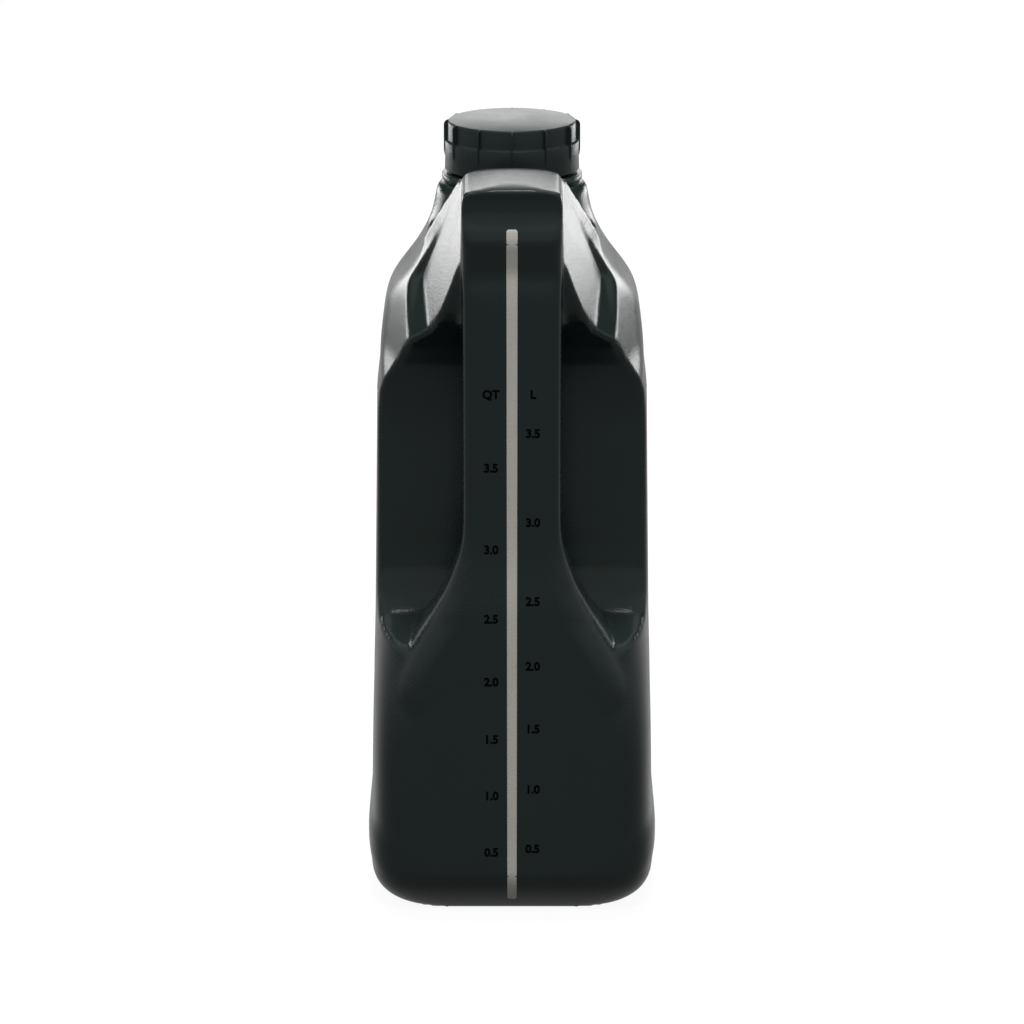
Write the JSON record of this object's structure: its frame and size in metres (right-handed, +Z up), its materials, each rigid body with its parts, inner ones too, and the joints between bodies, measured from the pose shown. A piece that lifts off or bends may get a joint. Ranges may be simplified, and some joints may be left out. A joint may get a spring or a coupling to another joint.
{
  "type": "fluid jug",
  "caption": "Black one-gallon transmission fluid jug with a moulded carrying handle, a pale level strip down its back and a ribbed screw cap.",
  "frame": {"origin": "centre of the footprint on the standing face", "axes": "+Z up, +X across the narrow width, +Y along the length away from the handle"},
  "size_m": [0.1154, 0.196, 0.3031],
  "materials": {
    "black_plastic": "gloss",
    "cap_plastic": "satin",
    "pale_plastic": "satin",
    "foam_wad": "matte",
    "label_film": "satin"
  },
  "bodies": {
    "jug": {"jug_body": "black_plastic", "level_strip": "pale_plastic", "label_left": "label_film", "label_right": "label_film"},
    "wad": {"cap_liner": "foam_wad"},
    "cap": {"cap": "cap_plastic"}
  },
  "joints": [
    {"name": "cap_lift", "type": "slide", "parent": "jug", "child": "wad", "axis": [0, 0, 1], "range_m": [0, 0.0211]},
    {"name": "cap_turn", "type": "hinge", "parent": "wad", "child": "cap", "pos_m": [0, 0, 0.29], "axis": [0, 0, 1], "range_deg": [0, 1800]}
  ],
  "couplings": [
    {"joint": "cap_lift", "follows": "cap_turn", "m_per_rad": 0.00066845}
  ]
}
